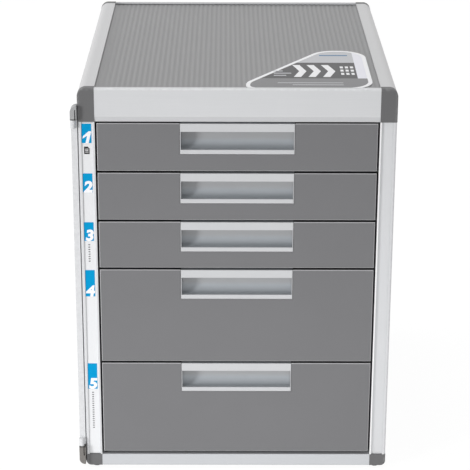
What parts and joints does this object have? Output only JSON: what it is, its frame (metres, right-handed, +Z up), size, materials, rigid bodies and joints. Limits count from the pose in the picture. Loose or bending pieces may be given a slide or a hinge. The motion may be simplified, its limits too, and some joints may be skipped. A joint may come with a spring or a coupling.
{
  "type": "drawer cabinet",
  "caption": "Free-standing desktop drawer cabinet with an aluminium frame, ribbed top, low and tall sliding drawers with recessed pulls and a hinged bar folded along its side.",
  "frame": {"origin": "on the table plane under the middle of the cabinet frame (midway between its outer side faces and between its front and back faces)", "axes": "+X to the viewer's right, +Y from the drawer fronts to the back, +Z up"},
  "size_m": [0.3064, 0.3648, 0.395],
  "materials": {
    "frame": "satin anodised",
    "cap": "fine matt moulding",
    "panel": "grey coated, ribbed",
    "foot": "plain",
    "strip": "smooth, with coloured tabs",
    "label": "smooth printed film",
    "guide": "smooth moulding",
    "steel": "plated",
    "front": "satin grey",
    "pull": "satin silver",
    "tray": "smooth moulding"
  },
  "bodies": {
    "frame": {"back_panel": "panel", "bottom_panel": "panel", "bottom_rail_front": "frame", "bottom_rail_left": "frame", "bottom_rail_rear": "frame", "bottom_rail_right": "frame", "bracket_screws": "steel", "cap_bottom_front_left": "cap", "cap_bottom_front_right": "cap", "cap_bottom_rear_left": "cap", "cap_bottom_rear_right": "cap", "cap_top_front_left": "cap", "cap_top_front_right": "cap", "cap_top_rear_left": "cap", "cap_top_rear_right": "cap", "drawer_guide_left": "guide", "drawer_guide_right": "guide", "feet": "foot", "front_post_left": "frame", "front_post_right": "frame", "guide_screws": "steel", "hinge_pins": "steel", "index_strip": "strip", "lock_bracket_bottom": "cap", "lock_bracket_top": "cap", "rear_post_left": "frame", "rear_post_right": "frame", "side_panel_left": "panel", "side_panel_right": "panel", "top_label": "label", "top_panel": "panel", "top_rail_front": "frame", "top_rail_left": "frame", "top_rail_rear": "frame", "top_rail_right": "frame"},
    "drawer_1": {"drawer_front_1": "front", "drawer_pull_1": "pull", "drawer_tray_1": "tray", "drawer_screws_1": "steel"},
    "drawer_2": {"drawer_front_2": "front", "drawer_pull_2": "pull", "drawer_tray_2": "tray", "drawer_screws_2": "steel"},
    "drawer_3": {"drawer_front_3": "front", "drawer_pull_3": "pull", "drawer_tray_3": "tray", "drawer_screws_3": "steel"},
    "drawer_4": {"drawer_front_4": "front", "drawer_pull_4": "pull", "drawer_tray_4": "tray", "drawer_screws_4": "steel"},
    "drawer_5": {"drawer_front_5": "front", "drawer_pull_5": "pull", "drawer_tray_5": "tray", "drawer_screws_5": "steel"},
    "locking_bar": {"lock_bar": "frame", "lock_bar_cap_top": "cap", "lock_bar_cap_bottom": "cap"}
  },
  "joints": [
    {"name": "drawer_1_slide", "type": "slide", "parent": "frame", "child": "drawer_1", "axis": [0, -1, 0], "range_m": [0, 0.25]},
    {"name": "drawer_2_slide", "type": "slide", "parent": "frame", "child": "drawer_2", "axis": [0, -1, 0], "range_m": [0, 0.25]},
    {"name": "drawer_3_slide", "type": "slide", "parent": "frame", "child": "drawer_3", "axis": [0, -1, 0], "range_m": [0, 0.25]},
    {"name": "drawer_4_slide", "type": "slide", "parent": "frame", "child": "drawer_4", "axis": [0, -1, 0], "range_m": [0, 0.25]},
    {"name": "drawer_5_slide", "type": "slide", "parent": "frame", "child": "drawer_5", "axis": [0, -1, 0], "range_m": [0, 0.25]},
    {"name": "locking_bar_swing", "type": "hinge", "parent": "frame", "child": "locking_bar", "pos_m": [-0.154, -0.1824, 0.19575], "axis": [0, 0, 1], "range_deg": [0, 220]}
  ]
}
